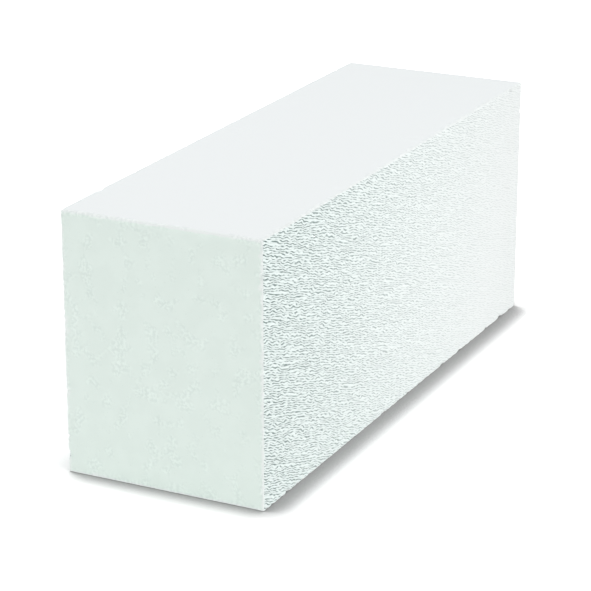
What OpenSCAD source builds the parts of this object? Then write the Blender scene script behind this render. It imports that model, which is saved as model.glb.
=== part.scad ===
// Aerated concrete wall block: one cast piece, cut to size on all six faces.
// X runs along the length, Y through the thickness and Z up the height.
// The origin is the middle of the bottom bed face.

/* [Block] */
// Length of the block along its course
block_length = 600; // [200:5:800]
// Height of the block from bed face to bed face
block_height = 250; // [100:5:400]
// Thickness of the block, which is the thickness of the wall it makes
block_thickness = 200; // [50:5:400]

/* [Arrises] */
// Radius to which the cut edges are worn
arris_radius = 1.5; // [0.5:0.1:8]

/* [Hidden] */
block_colour = [0.90, 0.94, 0.93];
$fn = 32;

// Rectangle about the origin with its corners rounded to the arris radius
module arris_outline(across, up) {
    inner_across = across - 2 * arris_radius;
    inner_up = up - 2 * arris_radius;
    square([across, inner_up], center = true);
    square([inner_across, up], center = true);
    for (side_x = [-1, 1], side_y = [-1, 1])
        translate([side_x * inner_across / 2, side_y * inner_up / 2])
            circle(r = arris_radius);
}

// Bar about the origin, with the four edges along its run rounded
module arris_bar(across, up, run) {
    linear_extrude(height = run, center = true)
        arris_outline(across, up);
}

// Three bars that cross share the block, and each rounds the edges that run its own way
module block() {
    color(block_colour)
        translate([0, 0, block_height / 2])
            intersection() {
                rotate([90, 0, 90])
                    arris_bar(block_thickness, block_height, block_length);
                rotate([90, 0, 0])
                    arris_bar(block_length, block_height, block_thickness);
                arris_bar(block_length, block_thickness, block_height);
            }
}

block();
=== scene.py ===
from math import cos, pi, radians, sin

import bpy
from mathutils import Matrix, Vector


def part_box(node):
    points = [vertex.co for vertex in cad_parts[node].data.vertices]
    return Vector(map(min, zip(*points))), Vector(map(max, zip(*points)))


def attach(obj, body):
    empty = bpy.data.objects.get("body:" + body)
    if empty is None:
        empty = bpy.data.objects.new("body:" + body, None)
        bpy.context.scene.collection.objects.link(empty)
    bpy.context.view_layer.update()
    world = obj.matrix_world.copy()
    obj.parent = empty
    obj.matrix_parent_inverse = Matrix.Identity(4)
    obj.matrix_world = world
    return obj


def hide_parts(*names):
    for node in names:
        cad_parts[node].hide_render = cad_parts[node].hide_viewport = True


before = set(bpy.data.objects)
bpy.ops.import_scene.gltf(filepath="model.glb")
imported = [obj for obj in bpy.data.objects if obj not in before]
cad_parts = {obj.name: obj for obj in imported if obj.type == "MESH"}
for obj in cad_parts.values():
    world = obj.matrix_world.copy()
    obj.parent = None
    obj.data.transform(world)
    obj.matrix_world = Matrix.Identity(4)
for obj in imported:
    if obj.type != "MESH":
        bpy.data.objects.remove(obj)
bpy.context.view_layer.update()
blockLow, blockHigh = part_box("block")
blockSize = blockHigh - blockLow
blockCentre = (blockLow + blockHigh) / 2
millimetres = [round(1000 * side) for side in blockSize]
print("frame loaded, block", millimetres, "mm")

noiseMiddle = 0.5    # what a noise texture swings around
white = (1.0, 1.0, 1.0, 1.0)
black = (0.0, 0.0, 0.0, 1.0)


# shorthands for node trees, used by the relief, the finish and the studio

def plug(tree, socket, value):
    if isinstance(value, bpy.types.NodeSocket):
        tree.links.new(value, socket)
    else:
        socket.default_value = value


def addNode(tree, kind, inputs=None, **settings):
    node = tree.nodes.new(kind)
    for name, value in settings.items():
        setattr(node, name, value)
    for name, value in (inputs or {}).items():
        plug(tree, node.inputs[name], value)
    return node


def calc(tree, operation, *values):
    node = tree.nodes.new("ShaderNodeMath")
    node.operation = operation
    for socket, value in zip(node.inputs, values):
        plug(tree, socket, value)
    return node.outputs[0]


def vectorCalc(tree, operation, *values):
    node = tree.nodes.new("ShaderNodeVectorMath")
    node.operation = operation
    for socket, value in zip(node.inputs, values):
        plug(tree, socket, value)
    return node.outputs[0]


def split(tree, vector):
    return addNode(tree, "ShaderNodeSeparateXYZ", {"Vector": vector}).outputs


def remap(tree, value, low, high, newLow=0.0, newHigh=1.0, ease="SMOOTHSTEP"):
    values = {"Value": value, "From Min": low, "From Max": high, "To Min": newLow, "To Max": newHigh}
    return addNode(tree, "ShaderNodeMapRange", values, interpolation_type=ease).outputs["Result"]


def noise(tree, position, cell, detail=0.0):
    # cell is one size for all directions, or one for each
    cells = vectorCalc(tree, "DIVIDE", position, cell if isinstance(cell, tuple) else (cell,) * 3)
    values = {"Vector": cells, "Scale": 1.0, "Detail": detail}
    return addNode(tree, "ShaderNodeTexNoise", values).outputs[0]


def swing(tree, value, reach):
    # noise around its middle, as a swing to both sides
    return calc(tree, "MULTIPLY", calc(tree, "SUBTRACT", value, noiseMiddle), reach / noiseMiddle)


# the relief of the block, written once and read by its mesh and by its finish, which also paints shade into
# its hollows and highlights on its ridge tops

ripple = {
    "depth": 0.0013,                    # ridge top to hollow at the near end
    "farShare": 0.17,                   # share of that depth at the far end
    "fadeDown": 0.4,                    # a drop in height counts as this much of a way along
    "slant": 18,                        # degrees by which the ridges drop towards the far end
    "pitch": 0.0023,                    # from ridge to ridge
    "sway": 0.8,                        # slow waver of the ridges, in pitches
    "swayCell": (0.030, 0.05, 0.012),   # along a ridge, through the block and across the ridges
    "jog": 0.84,                        # quick waver that splits and joins them
    "jogCell": (0.0082, 0.05, 0.0053),
    "faint": 0.05,                      # share of the depth where a ridge is faintest
    "faintCell": (0.0062, 0.05, 0.0019),
    "faintFrom": 0.28,                  # noise below this is faint, and above the next one strong
    "strongFrom": 0.62,
    "floorBelow": -0.75,                # the wave is cut off below this as the floor of a hollow
    "topAbove": 0.05,                   # and above this as the top of a ridge
    "crestAbove": 0.75,                 # where the painted highlight on the ridge top is palest from here on
}

wear = {
    "chipSize": 0.0038,      # legs of the largest chips on both faces together
    "chipCell": 0.013,
    "chipDetail": 2.0,
    "chipsFrom": 0.53,       # noise above this is chipped
    "chipsTo": 0.75,
    "crumbSize": 0.0014,     # the same for the small crumbs that are missing between the chips
    "crumbCell": 0.0048,
    "crumbsFrom": 0.35,
    "crumbsTo": 0.70,
    "smoothShare": 0.60,     # size of both on the arrises away from the wire-cut faces
    "smoothFrom": 0.006,     # it is reached between these distances from a wire-cut face
    "smoothTo": 0.020,
    "blendOut": 0.0004,      # a face's finish runs out this far beyond the arris
    "blendIn": 0.0010,       # and is whole this far in from it
}


def faceDistances(tree, position):
    # distance of a point from the nearest end, long face and bed face
    fromCentre = vectorCalc(tree, "SUBTRACT", position, tuple(blockCentre))
    inside = vectorCalc(tree, "SUBTRACT", tuple(blockSize / 2), vectorCalc(tree, "ABSOLUTE", fromCentre))
    return split(tree, inside)


def wayIn(tree, position):
    # 1 or -1 along each axis, towards the middle of the block
    return vectorCalc(tree, "SIGN", vectorCalc(tree, "SUBTRACT", tuple(blockCentre), position))


def toArris(tree, toEnd, toLong, toBed):
    # on the surface the nearest face is at hand, so the second nearest tells how far the arris is
    nearer = calc(tree, "MINIMUM", toEnd, toLong)
    farther = calc(tree, "MAXIMUM", toEnd, toLong)
    return calc(tree, "MAXIMUM", nearer, calc(tree, "MINIMUM", farther, toBed))


def onFace(tree, toFace, toSecond, toThird):
    # 1 on the face, 0 on the others, with a short blend over the arris
    spare = calc(tree, "SUBTRACT", calc(tree, "MINIMUM", toSecond, toThird), toFace)
    return remap(tree, spare, -wear["blendOut"], wear["blendIn"])


def rippleStrength(tree, position):
    # whole at the near top edge, and less towards the far end and the bottom
    place = split(tree, position)
    drop = calc(tree, "MULTIPLY", calc(tree, "SUBTRACT", blockHigh.z, place["Z"]), ripple["fadeDown"])
    along = calc(tree, "ADD", place["X"], drop)
    return remap(tree, along, blockLow.x, blockHigh.x, 1.0, ripple["farShare"], ease="LINEAR")


def hollowsAndCrests(tree, position, strength):
    # how far a place is down in a hollow, and how far up on a ridge; the finish paints the hollows darker
    # as shade and the ridge tops paler as a highlight
    turn = {"Vector": position, "Angle": -radians(ripple["slant"])}
    turned = addNode(tree, "ShaderNodeVectorRotate", turn, rotation_type="Y_AXIS").outputs[0]
    ridges = calc(tree, "DIVIDE", split(tree, turned)["Z"], ripple["pitch"])
    sway = swing(tree, noise(tree, turned, ripple["swayCell"]), ripple["sway"])
    jog = swing(tree, noise(tree, turned, ripple["jogCell"]), ripple["jog"])
    phase = calc(tree, "ADD", ridges, calc(tree, "ADD", sway, jog))
    wave = calc(tree, "COSINE", calc(tree, "MULTIPLY", phase, 2 * pi))
    hollowAndPaintedShade = remap(tree, wave, ripple["floorBelow"], ripple["topAbove"], 1.0, 0.0)
    paintedCrestHighlight = remap(tree, wave, ripple["topAbove"], ripple["crestAbove"])
    faint = noise(tree, turned, ripple["faintCell"])
    strong = remap(tree, faint, ripple["faintFrom"], ripple["strongFrom"], ripple["faint"], 1.0)
    strong = calc(tree, "MULTIPLY", strong, strength)
    return calc(tree, "MULTIPLY", hollowAndPaintedShade, strong), calc(tree, "MULTIPLY", paintedCrestHighlight, strong)


def chipLegs(tree, position, toLong):
    # size of the chip at this place, as the sum of its legs on both faces
    chips = noise(tree, position, wear["chipCell"], wear["chipDetail"])
    chips = remap(tree, chips, wear["chipsFrom"], wear["chipsTo"], 0.0, wear["chipSize"])
    crumbs = noise(tree, position, wear["crumbCell"])
    crumbs = remap(tree, crumbs, wear["crumbsFrom"], wear["crumbsTo"], 0.0, wear["crumbSize"])
    share = remap(tree, toLong, wear["smoothFrom"], wear["smoothTo"], 1.0, wear["smoothShare"])
    return calc(tree, "MULTIPLY", calc(tree, "ADD", chips, crumbs), share)


def chipCut(tree, legs, one, other):
    # a chip is a flat cut over the arris, which takes half of what stands over from each face
    over = calc(tree, "SUBTRACT", legs, calc(tree, "ADD", one, other))
    return calc(tree, "DIVIDE", calc(tree, "MAXIMUM", 0.0, over), 2.0)


# the block itself

block = {
    "arris": 0.0015,
    "arrisSteps": 2,
    "row": 0.00060,                          # cuts along the ridges
    "nearColumn": 0.0025,                    # cuts across the length, where the ripple is strong
    "farColumn": 0.0120,                     # and where it is faint
    "strip": 0.040,                          # cuts across the thickness
    "edgeCuts": (0.0030, 0.0050, 0.0085),    # further cuts this far in from each face
    "cutTolerance": 0.000001,                # a corner this close to a cut counts as on it
    "triangles": 195000,
    "unevenDepth": 0.00012,                  # slow rise and fall of all the faces
    "unevenCell": 0.045,
    "unevenDetail": 1.0,
}


def reliefTree():
    tree = bpy.data.node_groups.new("blockRelief", "GeometryNodeTree")
    for way in ("INPUT", "OUTPUT"):
        tree.interface.new_socket("Geometry", in_out=way, socket_type="NodeSocketGeometry")
    position = addNode(tree, "GeometryNodeInputPosition").outputs[0]
    toEnd, toLong, toBed = faceDistances(tree, position)
    hollowAndPaintedShade = hollowsAndCrests(tree, position, rippleStrength(tree, position))[0]
    groove = calc(tree, "MULTIPLY", hollowAndPaintedShade, ripple["depth"])
    groove = calc(tree, "MULTIPLY", groove, onFace(tree, toLong, toEnd, toBed))
    legs = chipLegs(tree, position, toLong)
    upright = chipCut(tree, legs, toEnd, toLong)
    short = chipCut(tree, legs, toEnd, toBed)
    lengthwise = chipCut(tree, legs, toLong, toBed)
    back = addNode(tree, "ShaderNodeCombineXYZ", {
        "X": calc(tree, "ADD", upright, short),
        "Y": calc(tree, "MAXIMUM", groove, calc(tree, "ADD", upright, lengthwise)),
        "Z": calc(tree, "ADD", short, lengthwise)}).outputs[0]
    uneven = noise(tree, position, block["unevenCell"], block["unevenDetail"])
    back = vectorCalc(tree, "ADD", back, calc(tree, "MULTIPLY", uneven, block["unevenDepth"]))
    inward = vectorCalc(tree, "MULTIPLY", back, wayIn(tree, position))
    start = addNode(tree, "NodeGroupInput")
    moved = addNode(tree, "GeometryNodeSetPosition", {"Geometry": start.outputs[0], "Offset": inward})
    addNode(tree, "NodeGroupOutput", {0: moved.outputs[0]})
    return tree


def applyModifier(piece, kind, **settings):
    modifier = piece.modifiers.new(kind.title(), kind)
    for name, value in settings.items():
        setattr(modifier, name, value)
    bpy.ops.object.modifier_apply(modifier=modifier.name)


def cutAcross(normal, places):
    # one cut through the whole block at each place along the normal
    for place in places:
        bpy.ops.mesh.select_all(action="SELECT")
        bpy.ops.mesh.bisect(plane_co=normal * place, plane_no=normal, threshold=block["cutTolerance"])


def evenPlaces(first, last, step):
    count = round((last - first) / step)
    return [first + (last - first) * i / count for i in range(1, count)]


def growingPlaces(first, last, nearStep, farStep):
    places = []
    place = first + nearStep
    while place < last:
        places.append(place)
        place += nearStep + (farStep - nearStep) * (place - first) / (last - first)
    return places


def edgePlaces(first, last):
    return [place for inset in block["edgeCuts"] for place in (first + inset, last - inset)]


def triangleCount(mesh):
    return sum(len(face.vertices) - 2 for face in mesh.polygons)


def makeBlock():
    bpy.ops.object.select_all(action="DESELECT")
    bpy.ops.mesh.primitive_cube_add(size=1, location=blockCentre)
    piece = bpy.context.object
    piece.name = "aeratedBlock"
    piece.scale = blockSize
    bpy.ops.object.transform_apply(location=True, rotation=True, scale=True)
    bpy.ops.object.mode_set(mode="EDIT")
    bpy.ops.mesh.select_mode(type="EDGE")
    bpy.ops.mesh.select_all(action="SELECT")
    bpy.ops.mesh.bevel(offset=block["arris"], segments=block["arrisSteps"], affect="EDGES")
    slant = radians(ripple["slant"])
    acrossRidges = Vector((sin(slant), 0, cos(slant)))
    first, last = blockLow.dot(acrossRidges), blockHigh.dot(acrossRidges)
    cutAcross(acrossRidges, evenPlaces(first, last, block["row"]))
    strips = evenPlaces(blockLow.y, blockHigh.y, block["strip"])
    columns = growingPlaces(blockLow.x, blockHigh.x, block["nearColumn"], block["farColumn"])
    for axis, places in ((1, strips), (2, []), (0, columns)):    # the height has edge cuts only
        normal = Vector([float(i == axis) for i in range(3)])
        cutAcross(normal, edgePlaces(blockLow[axis], blockHigh[axis]) + places)
    bpy.ops.object.mode_set(mode="OBJECT")
    print("block cut into", triangleCount(piece.data), "triangles")
    applyModifier(piece, "NODES", node_group=reliefTree())
    applyModifier(piece, "DECIMATE", ratio=min(1.0, block["triangles"] / triangleCount(piece.data)))
    bpy.ops.object.shade_smooth()
    print("block thinned to", triangleCount(piece.data), "triangles")
    return piece


# finish of the concrete

finish = {
    # painted shade: the ends are darker and greener than the bed faces, as faces that get less light
    "bed": (0.852, 0.882, 0.888, 1.0),
    "end": (0.793, 0.886, 0.836, 1.0),
    "endBlotch": (0.810, 0.903, 0.853, 1.0),
    "wireCut": (0.868, 0.886, 0.881, 1.0),     # where there is no ripple
    "rippled": (0.846, 0.931, 0.913, 1.0),     # where it is strongest
    "paintedCrestHighlight": (1.072, 1.072, 1.072, 1.0),       # painted highlight on the ridge tops and painted shade in the hollows, over that colour
    "hollowAndPaintedShade": (0.270, 0.320, 0.315, 1.0),
    "worn": (0.890, 0.930, 0.915, 1.0),        # on the upright arrises
    "wornBed": (0.835, 0.868, 0.860, 1.0),     # and round the bed faces
    "wornReach": 0.003,      # how far in from an arris the worn band fades out
    "wireReach": 0.0008,     # the same on the wire-cut faces
    "wornCore": 0.2,         # share of that which is worn all over
    "blotchCell": 0.025,     # large pale blotches on the ends
    "blotchDetail": 3.0,
    "blotchFrom": 0.40,
    "blotchTo": 0.62,
    "roughness": 0.90,
    "roughnessSwing": 0.06,  # how far the grain takes it to both sides
    "hollowRoughness": 0.97,
    "specular": 0.2,
}

marks = {
    "patchCell": 0.016,      # scattered patches of small marks on the ends
    "patchDetail": 1.0,
    "patchFrom": 0.50,
    "patchTo": 0.68,
    "speckCell": 0.0030,     # the marks in them
    "speckDetail": 1.0,
    "speckFrom": 0.35,
    "speckTo": 0.65,
    "arrisPatchFrom": 0.34,  # longer patches of them along the arrises
    "arrisPatchTo": 0.54,
    "arrisFrom": 0.002,      # whole up to this distance from the arris and gone at the next
    "arrisTo": 0.007,
    # the marks are painted darker in their dips and paler on their rises, as shade and highlight
    "dark": (0.94, 0.95, 0.95, 1.0),
    "pale": (1.05, 1.05, 1.05, 1.0),
    "depth": 0.00015,
}

pores = {
    "fine": {"cell": 0.0040, "radius": 0.0006, "share": 0.3, "depth": 0.00010},
    "coarse": {"cell": 0.0130, "radius": 0.0014, "share": 0.4, "depth": 0.00040},
    "floorShare": 0.3,                   # share of the radius that is flat floor
    "shade": (0.92, 0.93, 0.93, 1.0),    # painted shade on a pore's floor, against the face
    "grainCell": 0.0009,
    "grainDetail": 2.0,
    "grainDepth": 0.00003,
}


def mix(tree, factor, first, second, blend="MIX"):
    node = tree.nodes.new("ShaderNodeMix")
    node.data_type = "RGBA"
    node.blend_type = blend
    plug(tree, node.inputs["Factor"], factor)
    plug(tree, node.inputs["A"], first)
    plug(tree, node.inputs["B"], second)
    return node.outputs["Result"]


def endColor(tree, position):
    blotch = noise(tree, position, finish["blotchCell"], finish["blotchDetail"])
    blotch = remap(tree, blotch, finish["blotchFrom"], finish["blotchTo"])
    return mix(tree, blotch, finish["end"], finish["endBlotch"])


def wireCutColor(tree, hollowAndPaintedShade, paintedCrestHighlight, strength):
    color = mix(tree, strength, finish["wireCut"], finish["rippled"])
    # painted highlight on the ridge tops, then painted shade in the hollows
    color = mix(tree, paintedCrestHighlight, color, finish["paintedCrestHighlight"], blend="MULTIPLY")
    return mix(tree, hollowAndPaintedShade, color, finish["hollowAndPaintedShade"], blend="MULTIPLY")


def wornMask(tree, position, arris, toLong, onLong):
    # the worn band along the arrises, wider where a chip is out
    reach = remap(tree, onLong, 0.0, 1.0, finish["wornReach"], finish["wireReach"])
    bare = calc(tree, "ADD", chipLegs(tree, position, toLong), reach)
    return remap(tree, calc(tree, "DIVIDE", arris, bare), finish["wornCore"], 1.0, 1.0, 0.0)


def markMask(tree, position, arris, onEnd, onLong):
    # patches of small marks on the ends and along the arrises, none on the wire-cut faces
    patches = noise(tree, position, marks["patchCell"], marks["patchDetail"])
    scattered = remap(tree, patches, marks["patchFrom"], marks["patchTo"])
    nearArris = remap(tree, arris, marks["arrisFrom"], marks["arrisTo"], 1.0, 0.0)
    longer = remap(tree, patches, marks["arrisPatchFrom"], marks["arrisPatchTo"])
    marked = calc(tree, "MAXIMUM", calc(tree, "MULTIPLY", scattered, onEnd),
                  calc(tree, "MULTIPLY", nearArris, longer))
    return calc(tree, "MULTIPLY", marked, calc(tree, "SUBTRACT", 1.0, onLong))


def poreMask(tree, position, cell, radius, share):
    # one place for a pore in each cell, and a share of the places has one
    cells = vectorCalc(tree, "DIVIDE", position, (cell,) * 3)
    spots = addNode(tree, "ShaderNodeTexVoronoi", {"Vector": cells, "Scale": 1.0})
    rim = radius / cell
    pit = remap(tree, spots.outputs["Distance"], pores["floorShare"] * rim, rim, 1.0, 0.0)
    drawn = calc(tree, "LESS_THAN", split(tree, spots.outputs["Color"])["X"], share)
    return calc(tree, "MULTIPLY", pit, drawn)


def concreteMaterial():
    material = bpy.data.materials.new("aeratedConcrete")
    material.use_nodes = True
    tree = material.node_tree
    shader = tree.nodes["Principled BSDF"]
    position = addNode(tree, "ShaderNodeTexCoord").outputs["Object"]
    toEnd, toLong, toBed = faceDistances(tree, position)
    arris = toArris(tree, toEnd, toLong, toBed)
    onLong = onFace(tree, toLong, toEnd, toBed)
    onEnd = onFace(tree, toEnd, toLong, toBed)
    strength = rippleStrength(tree, position)
    hollowAndPaintedShade, paintedCrestHighlight = hollowsAndCrests(tree, position, strength)

    # colour of the faces, then of the worn arrises, then the marks
    smooth = mix(tree, onEnd, finish["bed"], endColor(tree, position))
    color = mix(tree, onLong, smooth, wireCutColor(tree, hollowAndPaintedShade, paintedCrestHighlight, strength))
    upright = remap(tree, toBed, 0.0, finish["wornReach"])
    wornColor = mix(tree, upright, finish["wornBed"], finish["worn"])
    color = mix(tree, wornMask(tree, position, arris, toLong, onLong), color, wornColor)
    marked = markMask(tree, position, arris, onEnd, onLong)
    # painted shade and highlight: the marks are darker where they are sunk and paler where they are raised
    speckle = noise(tree, position, marks["speckCell"], marks["speckDetail"])
    speckle = remap(tree, speckle, marks["speckFrom"], marks["speckTo"])
    speckShadeAndHighlight = mix(tree, speckle, marks["dark"], marks["pale"])
    color = mix(tree, marked, color, speckShadeAndHighlight, blend="MULTIPLY")

    # fine relief in metres, and the pores, which are also painted darker as the shade inside them
    grain = noise(tree, position, pores["grainCell"], pores["grainDetail"])
    height = calc(tree, "MULTIPLY", grain, pores["grainDepth"])
    raised = calc(tree, "MULTIPLY", calc(tree, "MULTIPLY", speckle, marks["depth"]), marked)
    height = calc(tree, "ADD", height, raised)
    for kind, where in (("fine", 1.0), ("coarse", onEnd)):
        pore = poreMask(tree, position, pores[kind]["cell"], pores[kind]["radius"], pores[kind]["share"])
        pore = calc(tree, "MULTIPLY", pore, where)
        color = mix(tree, pore, color, pores["shade"], blend="MULTIPLY")
        height = calc(tree, "SUBTRACT", height, calc(tree, "MULTIPLY", pore, pores[kind]["depth"]))
    bump = addNode(tree, "ShaderNodeBump", {"Height": height, "Strength": 1.0, "Distance": 1.0})

    roughness = calc(tree, "ADD", swing(tree, grain, finish["roughnessSwing"]), finish["roughness"])
    deep = calc(tree, "MULTIPLY", hollowAndPaintedShade, onLong)
    deepRoughness = calc(tree, "MULTIPLY", deep, finish["hollowRoughness"])
    roughness = calc(tree, "MAXIMUM", roughness, deepRoughness)
    plug(tree, shader.inputs["Base Color"], color)
    plug(tree, shader.inputs["Normal"], bump.outputs[0])
    plug(tree, shader.inputs["Roughness"], roughness)
    shader.inputs["Specular IOR Level"].default_value = finish["specular"]
    return material


blockPiece = makeBlock()
blockPiece.data.materials.clear()
blockPiece.data.materials.append(concreteMaterial())
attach(blockPiece, "root")
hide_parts("block")
print("block made")


# floor, light and camera

studio = {
    "floorSide": 12.0,
    "floorColor": (0.93, 0.93, 0.93, 1.0),
    "floorRoughness": 1.0,
    "floorSpecular": 0.0,
    "floorLift": 0.10,                    # glow that the camera sees on the floor beside the block
    "farLift": 1.0,                       # and away from it
    "liftCentre": (-0.03, -0.08, 0.0),    # the way to there is measured from this place
    "liftStretch": (1.35, 1.0, 1.0),      # and counts for more along the block
    "liftFrom": 0.34,
    "liftTo": 0.72,
    "contactReach": 0.030,                # width of the darkest shadow at the foot of the block
    "contactShade": 0.34,
    "contactLean": (0.25, 0.75, 1.0),     # the part of the sky that counts for it leans this way
    "contactFull": 0.48,                  # openness at the foot of the block
    "contactNone": 0.88,                  # openness away from it
    "contactSamples": 8,
    "sky": 0.688,                         # even light from all round
}

lamps = {
    "overheadSoftbox": {"place": (-0.35, -0.25, 4.5), "aim": (0.0, 0.0, 0.25), "side": 0.52, "watts": 54.0},
    "endFill": {"place": (-2.6, 0.25, 0.35), "aim": (-0.3, 0.0, 0.12), "side": 1.0, "watts": 6.0},
    "farEndFill": {"place": (2.6, -0.25, 0.35), "aim": (0.3, 0.0, 0.12), "side": 1.0, "watts": 6.0},
    "sideFill": {"place": (0.0, -0.95, 0.22), "aim": (0.0, -0.1, 0.05), "side": 0.4, "watts": 1.65},
    "backFill": {"place": (0.0, 0.95, 0.22), "aim": (0.0, 0.1, 0.05), "side": 0.4, "watts": 1.65},
}

photoView = {
    "azimuth": -63.69,
    "elevation": 19.40,
    "distance": 2.3144,
    "aim": (-0.0362, 0.0, 0.1021),
    "lens": 145.01,
}


def seenDirectly(tree):
    # 1 for the camera and for mirror and glass rays, 0 for the light that is given back
    path = addNode(tree, "ShaderNodeLightPath")
    seen = calc(tree, "MAXIMUM", path.outputs["Is Camera Ray"], path.outputs["Is Glossy Ray"])
    return calc(tree, "MAXIMUM", seen, path.outputs["Is Transmission Ray"])


def floorMaterial():
    material = bpy.data.materials.new("paleFloor")
    material.use_nodes = True
    tree = material.node_tree
    shader = tree.nodes["Principled BSDF"]
    seen = seenDirectly(tree)

    # painted shadow: the floor's colour is darkened at the foot of the block, so the shadow there is darker
    # than the soft light makes it
    lean = vectorCalc(tree, "NORMALIZE", studio["contactLean"])
    contact = {"Distance": studio["contactReach"], "Normal": lean}
    corner = addNode(tree, "ShaderNodeAmbientOcclusion", contact, samples=studio["contactSamples"])
    shade = remap(tree, corner.outputs["AO"], studio["contactFull"], studio["contactNone"],
                  studio["contactShade"], 1.0, ease="LINEAR")
    shown = calc(tree, "MAXIMUM", shade, calc(tree, "SUBTRACT", 1.0, seen))
    color = mix(tree, shown, black, studio["floorColor"])

    # away from the block the floor goes over into the white behind it
    position = addNode(tree, "ShaderNodeTexCoord").outputs["Object"]
    offset = vectorCalc(tree, "SUBTRACT", position, studio["liftCentre"])
    offset = vectorCalc(tree, "MULTIPLY", offset, studio["liftStretch"])
    away = addNode(tree, "ShaderNodeVectorMath", {0: offset}, operation="LENGTH").outputs["Value"]
    lift = remap(tree, away, studio["liftFrom"], studio["liftTo"], studio["floorLift"], studio["farLift"])
    # the glow is darkened by the same painted shadow
    glow = calc(tree, "MULTIPLY", seen, calc(tree, "MULTIPLY", shade, lift))

    plug(tree, shader.inputs["Base Color"], color)
    plug(tree, shader.inputs["Emission Strength"], glow)
    shader.inputs["Emission Color"].default_value = white
    shader.inputs["Roughness"].default_value = studio["floorRoughness"]
    shader.inputs["Specular IOR Level"].default_value = studio["floorSpecular"]
    return material


def makeFloor():
    bpy.ops.object.select_all(action="DESELECT")
    bpy.ops.mesh.primitive_plane_add(size=studio["floorSide"], location=(0, 0, blockLow.z))
    floor = bpy.context.object
    floor.name = "studioFloor"
    floor.data.materials.append(floorMaterial())


def makeSky():
    world = bpy.data.worlds.new("studioSky")
    bpy.context.scene.world = world
    world.use_nodes = True
    tree = world.node_tree
    sky = tree.nodes["Background"]
    sky.inputs["Color"].default_value = white
    plug(tree, sky.inputs["Strength"], calc(tree, "MAXIMUM", seenDirectly(tree), studio["sky"]))


def makeLamp(name, place, aim, side, watts):
    bpy.ops.object.light_add(type="AREA", location=place)
    lamp = bpy.context.object
    lamp.name = name
    lamp.rotation_euler = (Vector(aim) - Vector(place)).to_track_quat("-Z", "Y").to_euler()
    lamp.data.shape = "DISK"
    lamp.data.size = side
    lamp.data.energy = watts


def makeCamera():
    turn, lift = radians(photoView["azimuth"]), radians(photoView["elevation"])
    back = Vector((sin(turn) * cos(lift), -cos(turn) * cos(lift), sin(lift)))
    bpy.ops.object.camera_add(location=Vector(photoView["aim"]) + photoView["distance"] * back)
    camera = bpy.context.object
    camera.name = "photoCamera"
    camera.rotation_euler = (-back).to_track_quat("-Z", "Y").to_euler()
    camera.data.lens = photoView["lens"]
    bpy.context.scene.camera = camera


makeFloor()
makeSky()
for name, values in lamps.items():
    makeLamp(name, **values)
makeCamera()
bpy.context.scene.view_settings.view_transform = "Standard"
print("studio made")
